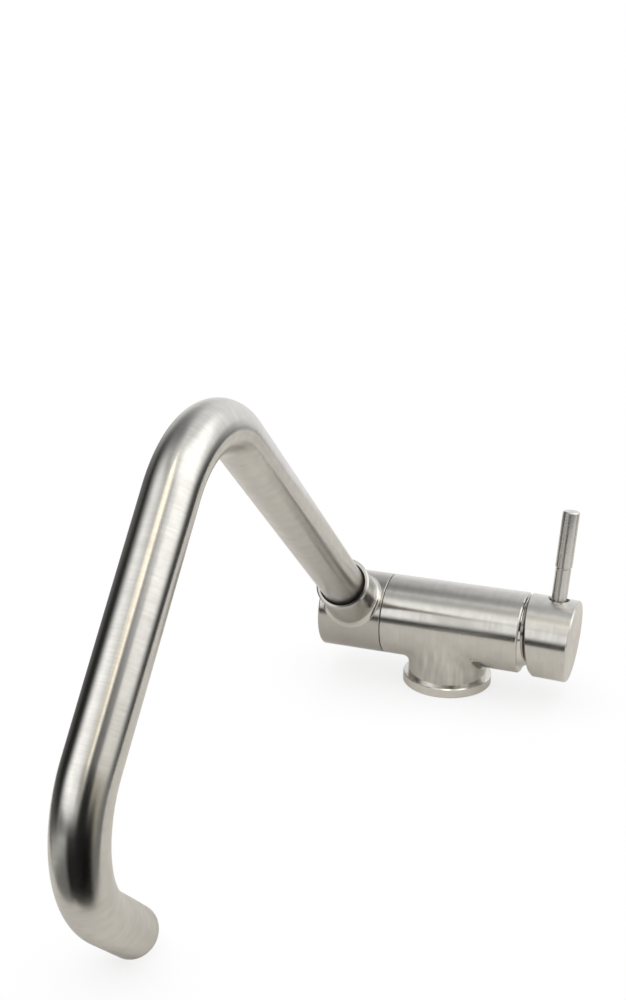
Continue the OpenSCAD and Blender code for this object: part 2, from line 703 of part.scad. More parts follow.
module knob() color(steel) lever_frame() difference() {
    turned([[0, 0], [0, knob_r], [knob_face - knob_chamfer, knob_r], [knob_face, knob_r - knob_chamfer],
        [knob_face, 0]]);
    // the slanted back with its broken edge, which leaves room for the lever to tip
    knob_back() {
        translate([-2 * knob_d, -knob_d, -2 * knob_d]) cube([2 * knob_d, 2 * knob_d, 3 * knob_d]);
        difference() {
            round_x(-over, knob_rim, knob_d);
            rotate([0, 90, 0]) cylinder(r1 = knob_back_r - knob_rim, r2 = knob_back_r, h = knob_rim);
        }
    }
    round_x(-over, knob_floor, knob_r - knob_wall);
    round_x(0, insert_end, insert_r);
    translate([rod_x, 0, rod_seat]) cylinder(d = rod_hole_d, h = knob_r);
    translate([rod_x, 0, knob_r - rod_sink_d])
        cylinder(r1 = rod_hole_d / 2, r2 = rod_hole_d / 2 + rod_sink, h = rod_sink_d + over);
}

module lever_rod() color(steel) lever_frame() translate([rod_x, 0, 0]) {
    rotate_extrude() polygon([[0, stem_w / 2], [rod_thread_r, stem_w / 2], [rod_thread_r, rod_seat],
        [rod_neck_d / 2, rod_seat], [rod_neck_d / 2, rod_step - rod_groove_w],
        [rod_groove_r, rod_step - rod_groove_w], [rod_groove_r, rod_step],
        [rod_d / 2 - rod_chamfer / 2, rod_step], [rod_d / 2, rod_step + rod_chamfer / 2],
        [rod_d / 2, rod_len - rod_chamfer], [rod_d / 2 - rod_chamfer, rod_len], [0, rod_len]]);
}

body_shell();
valve_block();
inlet_block();
inlet_o_rings();
block_screws();
base_ring();
base_gasket();
swivel_journal();
journal_o_rings();
slide_ring();
friction_washers();
journal_nut();
cartridge_housing();
cartridge_seals();
ceramic_disc_fixed();
cartridge_nut();
bonnet_dome();
swivel_head();
head_cap();
fold_stop_screw();
socket_bush();
spout_stop_screw();
spout_tube();
spout_spigot();
spout_o_rings();
outlet_sleeve();
aerator_housing();
aerator_insert();
aerator_gasket();
cartridge_carrier();
lever_pivot_pin();
disc_coupler();
ceramic_disc_moving();
cartridge_stem();
knob_insert();
knob();
lever_rod();
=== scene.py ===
"""Looks of a folding kitchen tap in brushed stainless steel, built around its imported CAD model."""

import logging
import math
from collections.abc import Sequence
from dataclasses import dataclass, field
from enum import Enum
from functools import cache

import bmesh
import bpy
from bmesh.types import BMEdge, BMesh, BMVert
from bpy.types import Material, Node, NodeSocket, NodeTree, Object
from mathutils import Euler, Matrix, Vector


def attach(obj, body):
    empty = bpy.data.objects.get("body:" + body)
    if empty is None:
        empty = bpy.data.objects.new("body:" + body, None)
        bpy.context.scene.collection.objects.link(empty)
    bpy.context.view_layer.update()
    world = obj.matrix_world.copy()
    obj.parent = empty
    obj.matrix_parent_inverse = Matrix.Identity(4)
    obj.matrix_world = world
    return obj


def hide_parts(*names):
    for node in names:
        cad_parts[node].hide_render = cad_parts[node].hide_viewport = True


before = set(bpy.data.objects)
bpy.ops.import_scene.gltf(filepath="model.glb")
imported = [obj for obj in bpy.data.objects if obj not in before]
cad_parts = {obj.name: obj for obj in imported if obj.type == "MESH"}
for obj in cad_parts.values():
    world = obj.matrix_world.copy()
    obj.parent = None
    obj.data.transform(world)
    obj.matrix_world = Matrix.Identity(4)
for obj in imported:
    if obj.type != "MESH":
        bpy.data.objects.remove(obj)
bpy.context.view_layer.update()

MM = 0.001
log = logging.getLogger("tap")

# Sizes that the pieces here share with the part's source, in millimetres and degrees
AXIS_H = 37.5
BARREL_R = 23.5
PILLAR_R = 23.25
SOCKET_X = -55.5
SOCKET_R = 15.5
FOLD = 49.3
LEVER_BACK = 7.4
LEVER_TIP = 1.8
LEVER_PIVOT_X = 36.0
ROD_X = 25.85

# An edge that turns by more than this stays sharp in a smooth-shaded piece
SHARP = math.radians(35)

# The shader lays its highlight along the tangent, and a quarter turn puts it across the scratches
ACROSS_SCRATCHES = 0.25

# The parts of a noise texture's 0 to 1 range that tone, roughness and broad streaks make use of
TONE_RANGE = (0.28, 0.72)
ROUGH_RANGE = (0.3, 0.7)
STREAK_RANGE = (0.36, 0.64)

# A point that is as near to two stretches of the tube, in millimetres, stays with the first
TIE = 1e-6


class Mixed(Enum):
    """What a Mix node mixes, with the numbers of its two inputs and its output."""

    FLOAT = (2, 3, 0)
    VECTOR = (4, 5, 1)
    RGBA = (6, 7, 2)


FLOAT_A, FLOAT_B, FLOAT_OUT = Mixed.FLOAT.value
COLOUR_A, COLOUR_B, COLOUR_OUT = Mixed.RGBA.value


def linear(code: str) -> tuple[float, float, float, float]:
    """Turn an sRGB hex colour to linear light.

    Args:
        code: The colour as six hex digits after a hash.

    Returns:
        Red, green, blue and an alpha of 1.
    """
    def channel(at: int) -> float:
        """Turn the two digits that start at one place to linear light."""
        value = int(code[at:at + 2], 16) / 255
        return value / 12.92 if value <= 0.04045 else ((value + 0.055) / 1.055) ** 2.4

    return channel(1), channel(3), channel(5), 1.0


def add(tree: NodeTree, kind: str, links: dict[str | int, object] | None = None,
        **settings: object) -> Node:
    """Add one node with its settings and links.

    Args:
        tree: The node tree that gets the node.
        kind: The node's type name without the ShaderNode in front.
        links: Values or output sockets by the name or number of the input that they go to.
        settings: Attributes of the node itself.

    Returns:
        The new node.
    """
    node = tree.nodes.new("ShaderNode" + kind)
    for name, value in settings.items():
        setattr(node, name, value)
    for key, value in (links or {}).items():
        if isinstance(value, NodeSocket):
            tree.links.new(value, node.inputs[key])
        else:
            node.inputs[key].default_value = value
    return node


def blank_material(name: str) -> tuple[Material, NodeTree]:
    """Start a material without any nodes.

    Args:
        name: The material's name.

    Returns:
        The material and its empty node tree.
    """
    started = bpy.data.materials.new(name)
    started.use_nodes = True
    started.node_tree.nodes.clear()
    return started, started.node_tree


def off_axis(tree: NodeTree, coords: NodeSocket) -> tuple[NodeSocket, NodeSocket]:
    """Find how a point lies from the Z axis.

    Args:
        tree: The material's node tree.
        coords: The point's coordinates about the axis.

    Returns:
        The way from the axis to the point, level with it, and how long that is.
    """
    flat = add(tree, "VectorMath", {0: coords, 1: (1, 1, 0)}, operation="MULTIPLY").outputs[0]
    return flat, add(tree, "VectorMath", {0: flat}, operation="LENGTH").outputs["Value"]


def turned_towards(axis: Sequence[float]) -> Euler:
    """Give the rotation that takes +Z to an axis."""
    return Vector(axis).to_track_quat("Z", "Y").to_euler()


@dataclass(frozen=True)
class Placement:
    """Where a turned piece's own axis lies, so that its finishing lines run round it."""

    centre: tuple[float, float, float] = (0.0, 0.0, 0.0)
    axis: tuple[float, float, float] = (0.0, 0.0, 1.0)

    def mapping(self, tree: NodeTree) -> NodeSocket:
        """Give Object coordinates as seen from the piece's own axis.

        Args:
            tree: The material's node tree.

        Returns:
            The coordinates in metres, with the piece's axis along Z.
        """
        return add(tree, "Mapping", {
            "Vector": add(tree, "TexCoord").outputs["Object"],
            "Location": Vector(self.centre) * MM,
            "Rotation": turned_towards(self.axis),
        }, vector_type="TEXTURE").outputs["Vector"]


# The way that the folded spout leaves the head, and the side to which it bends
RISER_WAY = Vector((0, -math.sin(math.radians(FOLD)), math.cos(math.radians(FOLD))))
RISER_SIDE = Vector((0, -math.cos(math.radians(FOLD)), -math.sin(math.radians(FOLD))))
LEVER_TURN = (Matrix.Rotation(math.radians(-LEVER_BACK), 3, "X")
              @ Matrix.Rotation(math.radians(LEVER_TIP), 3, "Y"))
KNOB_AXIS = LEVER_TURN @ Vector((1, 0, 0))

ALONG_BARREL = Placement((0, 0, AXIS_H), (1, 0, 0))
UPRIGHT = Placement()
SOCKET_PLACE = Placement((SOCKET_X, 0, AXIS_H), tuple(RISER_WAY))
KNOB_PLACE = Placement((LEVER_PIVOT_X, 0, AXIS_H), tuple(KNOB_AXIS))
ROD_PLACE = Placement(tuple(Vector((LEVER_PIVOT_X, 0, AXIS_H)) + KNOB_AXIS * ROD_X),
                      tuple(LEVER_TURN @ Vector((0, 0, 1))))


class Lay(Enum):
    """Which way the finishing lines run."""

    ROUND = "round the axis"
    ALONG = "along the axis"


@dataclass(frozen=True)
class Grain:
    """The fine scratches that a turning tool or an abrasive belt leaves about one axis.

    A fine belt leaves scratches well under 0.1 mm apart. The picture has about 0.6 mm to a pixel,
    so the lines are drawn 0.35 mm wide or wider, as coarse as they need to be to show. They are
    given by their width, and by how long they run at a common radius.
    """

    place: Placement
    lay: Lay = Lay.ROUND
    line_mm: float = 0.35
    run_mm: float = 14.0
    unrolled: bool = False
    common_r_mm: float = 20.0

    def coordinates(self, tree: NodeTree) -> NodeSocket:
        """Give coordinates about the piece's axis, or about the straightened tube's.

        Args:
            tree: The material's node tree.

        Returns:
            The coordinates in metres.
        """
        if self.unrolled:
            return add(tree, "Attribute", attribute_name="straightened").outputs["Vector"]
        return self.place.mapping(tree)

    def lines(self, tree: NodeTree, times: float, detail: float) -> NodeSocket:
        """Add noise that is long along the scratches and narrow across them.

        Args:
            tree: The material's node tree.
            times: How many times wider than a single scratch the noise is.
            detail: How many finer layers the noise has.

        Returns:
            A value around 0.5.
        """
        coords = self.coordinates(tree)
        flat, out = off_axis(tree, coords)
        way = add(tree, "VectorMath", {0: flat}, operation="NORMALIZE").outputs[0]
        height = add(tree, "SeparateXYZ", {0: coords}).outputs["Z"]
        # Adding the distance from the axis draws rings on a flat end too
        height = add(tree, "Math", {0: height, 1: out}, operation="ADD").outputs[0]
        narrow, long = self.line_mm * times, self.run_mm * math.sqrt(times)
        if self.lay is Lay.ALONG:
            narrow, long = long, narrow
        height = add(tree, "Math", {0: height, 1: 1 / (narrow * MM)},
                     operation="MULTIPLY").outputs[0]
        way = add(tree, "VectorMath", {0: way, "Scale": self.common_r_mm / long},
                  operation="SCALE").outputs[0]
        lift = add(tree, "CombineXYZ", {"Z": height}).outputs[0]
        point = add(tree, "VectorMath", {0: way, 1: lift}, operation="ADD").outputs[0]
        return add(tree, "TexNoise", {"Vector": point, "Scale": 1.0, "Detail": detail,
                                      "Roughness": 0.6}).outputs["Fac"]

    def tangent(self, tree: NodeTree) -> NodeSocket:
        """Give the direction in which the scratches run.

        Args:
            tree: The material's node tree.

        Returns:
            The direction in the object's own space.
        """
        if self.unrolled:
            return add(tree, "Attribute", attribute_name="around").outputs["Vector"]
        if self.lay is Lay.ALONG:
            return add(tree, "CombineXYZ", dict(zip("XYZ", self.place.axis))).outputs[0]
        around = add(tree, "VectorMath", {0: (0, 0, 1), 1: self.coordinates(tree)},
                     operation="CROSS_PRODUCT").outputs[0]
        return add(tree, "Mapping", {"Vector": around, "Rotation": turned_towards(self.place.axis)},
                   vector_type="VECTOR").outputs[0]


@dataclass(frozen=True)
class Steel:
    """Stainless steel of the common 18/8 grade, finished on a lathe or with an abrasive belt.

    The scratches blur reflections across them and keep them crisp along them, which draws the long
    bands of light and dark that brushed taps show. A branch that stands out of a barrel can have a
    grain of its own, which takes over between two distances from the barrel's axis.
    """

    name: str
    grain: Grain
    branch: Grain | None = None
    branch_from_mm: float = 24.0
    branch_to_mm: float = 26.5
    colour: str = "#dad8d5"
    shade: str = "#c4c2bf"
    roughness: float = 0.22
    roughness_swing: float = 0.025
    spread: float = 0.62
    depth_mm: float = 0.0008
    broad_times: float = 8
    broad_share: float = 0.3
    cloud_mm: float = 5.0
    cloud_share: float = 0.4
    streak_times: float = 7
    streaks: float = 0.0

    def joined(self, tree: NodeTree, kind: Mixed, values: list) -> NodeSocket:
        """Join the barrel's value and the branch's by the distance from the barrel's axis.

        Args:
            tree: The material's node tree.
            kind: What the values are.
            values: The barrel's value, then the branch's where there is a branch.

        Returns:
            The joined value, or the barrel's own where there is no branch.
        """
        if self.branch is None:
            return values[0]
        _, out = off_axis(tree, self.grain.coordinates(tree))
        share = add(tree, "MapRange", {"Value": out, "From Min": self.branch_from_mm * MM,
                                       "From Max": self.branch_to_mm * MM}).outputs[0]
        first, second, result = kind.value
        return add(tree, "Mix", {0: share, first: values[0], second: values[1]},
                   data_type=kind.name).outputs[result]

    def material(self) -> Material:
        """Build the material.

        Returns:
            The steel, with its scratches in its tone, its roughness and its relief.
        """
        done, tree = blank_material(self.name)
        grains = [grain for grain in (self.grain, self.branch) if grain]
        fine = self.joined(tree, Mixed.FLOAT,
                           [grain.lines(tree, times=1, detail=3.0) for grain in grains])
        broad = self.joined(tree, Mixed.FLOAT,
                            [grain.lines(tree, self.broad_times, detail=2.0) for grain in grains])
        wear = add(tree, "Mix", {0: self.broad_share, FLOAT_A: fine, FLOAT_B: broad}
                   ).outputs[FLOAT_OUT]
        cloud = add(tree, "TexNoise", {"Vector": add(tree, "TexCoord").outputs["Object"],
                                       "Detail": 4.0, "Scale": 1 / (self.cloud_mm * MM)}
                    ).outputs["Fac"]
        wear = add(tree, "Mix", {0: self.cloud_share, FLOAT_A: wear, FLOAT_B: cloud}
                   ).outputs[FLOAT_OUT]
        tone = add(tree, "MapRange", {"Value": wear, "From Min": TONE_RANGE[0],
                                      "From Max": TONE_RANGE[1]}).outputs[0]
        colour = add(tree, "Mix", {0: tone, COLOUR_A: linear(self.shade),
                                   COLOUR_B: linear(self.colour)},
                     data_type="RGBA").outputs[COLOUR_OUT]
        if self.branch and self.streaks:
            colour = self.streaked(tree, colour)
        rough = add(tree, "MapRange", {
            "Value": wear, "From Min": ROUGH_RANGE[0], "From Max": ROUGH_RANGE[1],
            "To Min": self.roughness + self.roughness_swing,
            "To Max": self.roughness - self.roughness_swing,
        }).outputs[0]
        relief = add(tree, "Bump", {"Height": fine, "Strength": 1.0,
                                    "Distance": self.depth_mm * MM}).outputs[0]
        around = self.joined(tree, Mixed.VECTOR, [grain.tangent(tree) for grain in grains])
        tangent = add(tree, "VectorTransform", {0: around}, vector_type="VECTOR",
                      convert_from="OBJECT", convert_to="WORLD").outputs[0]
        shader = add(tree, "BsdfPrincipled", {
            "Base Color": colour, "Roughness": rough, "Metallic": 1.0, "Normal": relief,
            "Anisotropic": self.spread, "Anisotropic Rotation": ACROSS_SCRATCHES,
            "Tangent": tangent,
        })
        add(tree, "OutputMaterial", {"Surface": shader.outputs[0]})
        return done

    def streaked(self, tree: NodeTree, colour: NodeSocket) -> NodeSocket:
        """Lay the branch's broad streaks over the colour, on the branch alone.

        Args:
            tree: The material's node tree.
            colour: The colour so far.

        Returns:
            The colour with the streaks in it.
        """
        band = self.branch.lines(tree, self.streak_times, detail=1.0)
        band = add(tree, "MapRange", {
            "Value": band, "From Min": STREAK_RANGE[0], "From Max": STREAK_RANGE[1],
            "To Min": 1 - self.streaks, "To Max": 1 + self.streaks / 2,
        }).outputs[0]
        band = self.joined(tree, Mixed.FLOAT, [1.0, band])
        return add(tree, "VectorMath", {0: colour, "Scale": band}, operation="SCALE").outputs[0]


@dataclass(frozen=True)
class Brass:
    """CW617N brass, machined bright and left uncoated."""

    name: str
    place: Placement
    colour: str = "#c9a65f"
    shade: str = "#a9864a"
    roughness: float = 0.3
    spread: float = 0.4

    def material(self) -> Material:
        """Build the material from the turned steel, in brass's colours."""
        return Steel(self.name, Grain(self.place), colour=self.colour, shade=self.shade,
                     roughness=self.roughness, spread=self.spread).material()


@dataclass(frozen=True)
class Moulded:
    """A moulded plastic, rubber or ceramic: one colour, faintly mottled, with a fine matt grain.

    Its grain is drawn 0.4 mm wide, coarser than a spark-eroded mould's, so that it shows.
    """

    name: str
    colour: str
    shade: str
    roughness: float
    ior: float = 1.5
    grain_mm: float = 0.4
    depth_mm: float = 0.01
    mottle_times: float = 12
    roughness_swing: float = 0.06
    relief: float = 0.6

    def material(self) -> Material:
        """Build the material.

        Returns:
            The moulded stuff, with its mottling in its colour and its grain in its relief.
        """
        done, tree = blank_material(self.name)
        coords = add(tree, "TexCoord").outputs["Object"]
        grain, mottle = (
            add(tree, "TexNoise", {"Vector": coords, "Scale": 1 / (times * self.grain_mm * MM),
                                   "Detail": detail}).outputs["Fac"]
            for times, detail in ((1, 2.0), (self.mottle_times, 3.0)))
        colour = add(tree, "Mix", {0: mottle, COLOUR_A: linear(self.shade),
                                   COLOUR_B: linear(self.colour)},
                     data_type="RGBA").outputs[COLOUR_OUT]
        rough = add(tree, "MapRange", {"Value": grain,
                                       "To Min": self.roughness - self.roughness_swing,
                                       "To Max": self.roughness + self.roughness_swing}
                    ).outputs[0]
        relief = add(tree, "Bump", {"Height": grain, "Strength": self.relief,
                                    "Distance": self.depth_mm * MM}).outputs[0]
        shader = add(tree, "BsdfPrincipled", {"Base Color": colour, "Roughness": rough,
                                              "IOR": self.ior, "Normal": relief})
        add(tree, "OutputMaterial", {"Surface": shader.outputs[0]})
        return done


# Belted round the barrel and down the pillar: soft bands along the barrel, upright streaks below it
BODY_STEEL = Steel("satin_steel_body", Grain(ALONG_BARREL), Grain(UPRIGHT, Lay.ALONG, 0.5, 9.0),
                   roughness=0.2, streaks=0.14)
# The same belt on the head: greyer, with its bands turning where the socket leaves the drum
HEAD_STEEL = Steel("satin_steel_head", Grain(ALONG_BARREL), Grain(SOCKET_PLACE),
                   colour="#c6c4c1", shade="#bbb9b6")
# A weld ground and rubbed down by hand: a smooth hollow that gathers light in one bright line
WELD_STEEL = Steel("dressed_weld", Grain(SOCKET_PLACE, line_mm=0.6), roughness=0.17, spread=0.2,
                   colour="#dcdad6", shade="#d0cdc8")
# Turned about the knob's own axis: bands that break at the gap, and faint rings on the flat end
KNOB_STEEL = Steel("satin_steel_knob", Grain(KNOB_PLACE))
# Turned with a coarser feed: a softer shine, with wider lines round the rod
ROD_STEEL = Steel("turned_steel_rod", Grain(ROD_PLACE, line_mm=0.5), roughness=0.26,
                  colour="#d9d7d4", shade="#cfcdca")
# Turned bright with a fine feed: the lightest steel, with a clear light rim
RING_STEEL = Steel("turned_steel_base_ring", Grain(UPRIGHT), roughness=0.2,
                   colour="#e9e7e4", shade="#dfddd9")
# Belted round after bending: long soft bands that follow the tube through both bends
TUBE_STEEL = Steel("satin_steel_tube", Grain(UPRIGHT, line_mm=0.7, run_mm=26.0, unrolled=True))
# Polished so that the knob glides over it: small near-mirror glints in the gap behind the knob
DOME_STEEL = Steel("polished_steel_dome", Grain(ALONG_BARREL), colour="#dddbd8", shade="#d6d4d0",
                   roughness=0.12, spread=0.2)
# Screws, washers and pins straight off the lathe: plain, bright and evenly lined
SMALL_STEEL = Steel("turned_steel_small_parts", Grain(ALONG_BARREL), colour="#d6d4d0",
                    roughness=0.2)
# Machined and uncoated: a warm yellow glint wherever an opening shows the inside
BRASS = Brass("machined_brass", ALONG_BARREL)
# Moulded acetal, natural: milky and slightly glossy
WHITE_PLASTIC = Moulded("acetal_white", "#e8e6df", "#d9d6cd", 0.42, 1.48)
# Moulded acetal, black: keeps the ring round the spout's root deep and dark
DARK_PLASTIC = Moulded("acetal_black", "#2b2b2d", "#1c1c1e", 0.45, 1.48)
# Moulded nitrile rubber: dull black that hardly glints
RUBBER = Moulded("nitrile_rubber", "#1b1b1c", "#111112", 0.62, 1.52)
# Fired alumina, lapped flat: a cold white with a glassy shine
CERAMIC = Moulded("alumina_ceramic_lapped", "#f3f0e8", "#e6e2d8", 0.16, 1.76, depth_mm=0.002)

Finish = Steel | Brass | Moulded

CAD_FINISHES: dict[Finish, tuple[str, ...]] = {
    BODY_STEEL: ("body_shell",),
    HEAD_STEEL: ("swivel_head", "head_cap"),
    RING_STEEL: ("base_ring",),
    KNOB_STEEL: ("knob",),
    ROD_STEEL: ("lever_rod",),
    DOME_STEEL: ("bonnet_dome",),
    SMALL_STEEL: ("block_screws", "friction_washers", "fold_stop_screw", "spout_stop_screw",
                  "lever_pivot_pin", "cartridge_stem"),
    BRASS: ("valve_block", "inlet_block", "swivel_journal", "journal_nut", "cartridge_nut",
            "spout_spigot", "outlet_sleeve", "knob_insert"),
    WHITE_PLASTIC: ("cartridge_housing", "disc_coupler", "aerator_housing"),
    DARK_PLASTIC: ("slide_ring", "cartridge_carrier", "aerator_insert", "socket_bush"),
    RUBBER: ("inlet_o_rings", "base_gasket", "journal_o_rings", "cartridge_seals", "spout_o_rings",
             "aerator_gasket"),
    CERAMIC: ("ceramic_disc_fixed", "ceramic_disc_moving"),
}


@cache
def material_of(finish: Finish) -> Material:
    """Build a finish's material the first time that it is asked for, and share it after that."""
    return finish.material()


def dress(thing: Object, material: Material) -> None:
    """Give every material slot of an object one material.

    Args:
        thing: The object.
        material: Its material.
    """
    if not thing.data.materials:
        thing.data.materials.append(material)
    for at in range(len(thing.data.materials)):
        thing.data.materials[at] = material


def new_object(name: str, shape: BMesh, material: Material) -> Object:
    """Turn a bmesh into an object in the scene.

    Args:
        name: The object's name.
        shape: Its shape, in metres and in place, which is used up.
        material: Its material.

    Returns:
        The new object.
    """
    mesh = bpy.data.meshes.new(name)
    shape.to_mesh(mesh)
    shape.free()
    thing = bpy.data.objects.new(name, mesh)
    bpy.context.scene.collection.objects.link(thing)
    dress(thing, material)
    return thing


def new_piece(name: str, shape: BMesh, finish: Finish, body: str) -> Object:
    """Turn a bmesh into a smooth-shaded piece that rides on a body.

    Args:
        name: The piece's name.
        shape: Its shape, in metres and in place.
        finish: Its finish.
        body: The CAD body that it moves with.

    Returns:
        The new object.
    """
    thing = new_object(name, shape, material_of(finish))
    thing.data.shade_smooth()
    thing.data.set_sharp_from_angle(angle=SHARP)
    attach(thing, body)
    return thing


class CadParts:
    """The CAD nodes that keep their own shape and only get a finish."""

    def build(self) -> list[Object]:
        """Dress the nodes.

        Returns:
            The nodes' objects.
        """
        nodes = []
        for finish, names in CAD_FINISHES.items():
            for name in names:
                dress(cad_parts[name], material_of(finish))
                nodes.append(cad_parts[name])
        return nodes


@dataclass(frozen=True)
class Stretch:
    """One straight or bent stretch of the tube's middle line, in millimetres and radians."""

    travelled: float
    start: Vector
    way: Vector
    side: Vector
    length: float
    turn: float = 0.0


@dataclass
class SpoutTube:
    """The bent spout tube: three straights and two bends of one round section."""

    tube_r: float = 12.395
    wall: float = 1.395
    start: float = 36.0
    riser_len: float = 288.0
    reach_len: float = 217.0
    drop_len: float = 82.5
    bend_r: float = 51.0
    turns: tuple[float, float] = (87.5, 88.5)
    sides: int = 96
    bend_steps: int = 40
    lip: float = 0.3
    lip_segments: int = 3
    end_edge: float = 60.0
    stretches: list[Stretch] = field(init=False)

    def __post_init__(self) -> None:
        """Lay out the middle line as soon as the sizes are known."""
        self.stretches = self.plan()

    def plan(self) -> list[Stretch]:
        """Work out how each stretch starts, which way it runs and how it turns.

        Returns:
            The five stretches, from the socket to the outlet.
        """
        way, side = RISER_WAY.copy(), RISER_SIDE.copy()
        at = Vector((SOCKET_X, 0, AXIS_H)) + way * self.start
        spare = [self.bend_r * math.tan(math.radians(turn) / 2) for turn in self.turns]
        straights = [self.riser_len - self.start - spare[0], self.reach_len - sum(spare),
                     self.drop_len - spare[1]]
        travelled = self.start
        stretches = []
        for number, length in enumerate(straights):
            stretches.append(Stretch(travelled, at.copy(), way.copy(), side.copy(), length))
            at = at + way * length
            travelled += length
            if number < len(self.turns):
                turn = math.radians(self.turns[number])
                stretches.append(Stretch(travelled, at.copy(), way.copy(), side.copy(),
                                         self.bend_r * turn, turn))
                centre = at + side * self.bend_r
                spin = Matrix.Rotation(turn, 3, way.cross(side))
                at = centre + spin @ (at - centre)
                way, side = spin @ way, spin @ side
                travelled += self.bend_r * turn
        return stretches

    def shell(self) -> BMesh:
        """Sweep the outer circle along the path and give it its wall.

        Returns:
            The tube's shape in metres, with its two ends' edges broken.
        """
        shape = bmesh.new()
        first = self.stretches[0]
        rim = bmesh.ops.create_circle(shape, cap_ends=False, segments=self.sides,
                                      radius=self.tube_r * MM)["verts"]
        turn = Matrix((first.side, first.way.cross(first.side), first.way)).transposed().to_4x4()
        bmesh.ops.transform(shape, matrix=Matrix.Translation(first.start * MM) @ turn, verts=rim)
        edges = shape.edges[:]
        for stretch in self.stretches:
            if stretch.turn:
                swept = bmesh.ops.spin(
                    shape, geom=edges, cent=(stretch.start + stretch.side * self.bend_r) * MM,
                    axis=stretch.way.cross(stretch.side), angle=stretch.turn,
                    steps=self.bend_steps, use_duplicate=False)["geom_last"]
            else:
                swept = bmesh.ops.extrude_edge_only(shape, edges=edges)["geom"]
                bmesh.ops.translate(shape, vec=stretch.way * stretch.length * MM,
                                    verts=[v for v in swept if isinstance(v, BMVert)])
            edges = [e for e in swept if isinstance(e, BMEdge)]
        bmesh.ops.recalc_face_normals(shape, faces=shape.faces[:])
        bmesh.ops.solidify(shape, geom=shape.faces[:], thickness=self.wall * MM)
        ends = [e for e in shape.edges
                if len(e.link_faces) == 2 and e.calc_face_angle(0) > math.radians(self.end_edge)]
        bmesh.ops.bevel(shape, geom=ends, offset=self.lip * MM, offset_type="OFFSET",
                        affect="EDGES", segments=self.lip_segments, profile=0.5, material=-1)
        return shape

    def unroll(self, point: Vector) -> tuple[Vector, Vector]:
        """Find a point's place on the straightened tube and the direction round the tube there.

        Args:
            point: A point on the tube, in millimetres.

        Returns:
            Its coordinates about the straightened axis, and the direction round that axis.
        """
        best = None
        for stretch in self.stretches:
            start, way, side = stretch.start, stretch.way, stretch.side
            if stretch.turn:
                centre = start + side * self.bend_r
                from_centre = point - centre
                turned = math.atan2(from_centre.dot(way), -from_centre.dot(side))
                inside = min(max(turned, 0.0), stretch.turn)
                spin = Matrix.Rotation(inside, 3, way.cross(side))
                middle = centre + spin @ (-side * self.bend_r)
                here, out = spin @ way, spin @ side
                run = stretch.travelled + inside * self.bend_r
            else:
                inside = min(max((point - start).dot(way), 0.0), stretch.length)
                middle, here, out = start + way * inside, way, side
                run = stretch.travelled + inside
            far = (point - middle).length
            if best is None or far < best[0] - TIE:
                best = (far, middle, here, out, run)
        _, middle, here, out, run = best
        radial = point - middle
        return (Vector((radial.dot(out), radial.dot(here.cross(out)), run)),
                here.cross(radial).normalized())

    def build(self) -> list[Object]:
        """Make the tube in place of its CAD node, with the coordinates that its finish follows.

        Returns:
            The tube alone.
        """
        tube = new_piece("spout_tube_drawn", self.shell(), TUBE_STEEL, "spout")
        straightened = tube.data.attributes.new("straightened", "FLOAT_VECTOR", "POINT")
        around = tube.data.attributes.new("around", "FLOAT_VECTOR", "POINT")
        for vertex in tube.data.vertices:
            place, way = self.unroll(vertex.co / MM)
            straightened.data[vertex.index].vector = place * MM
            around.data[vertex.index].vector = way
        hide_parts("spout_tube")
        return [tube]


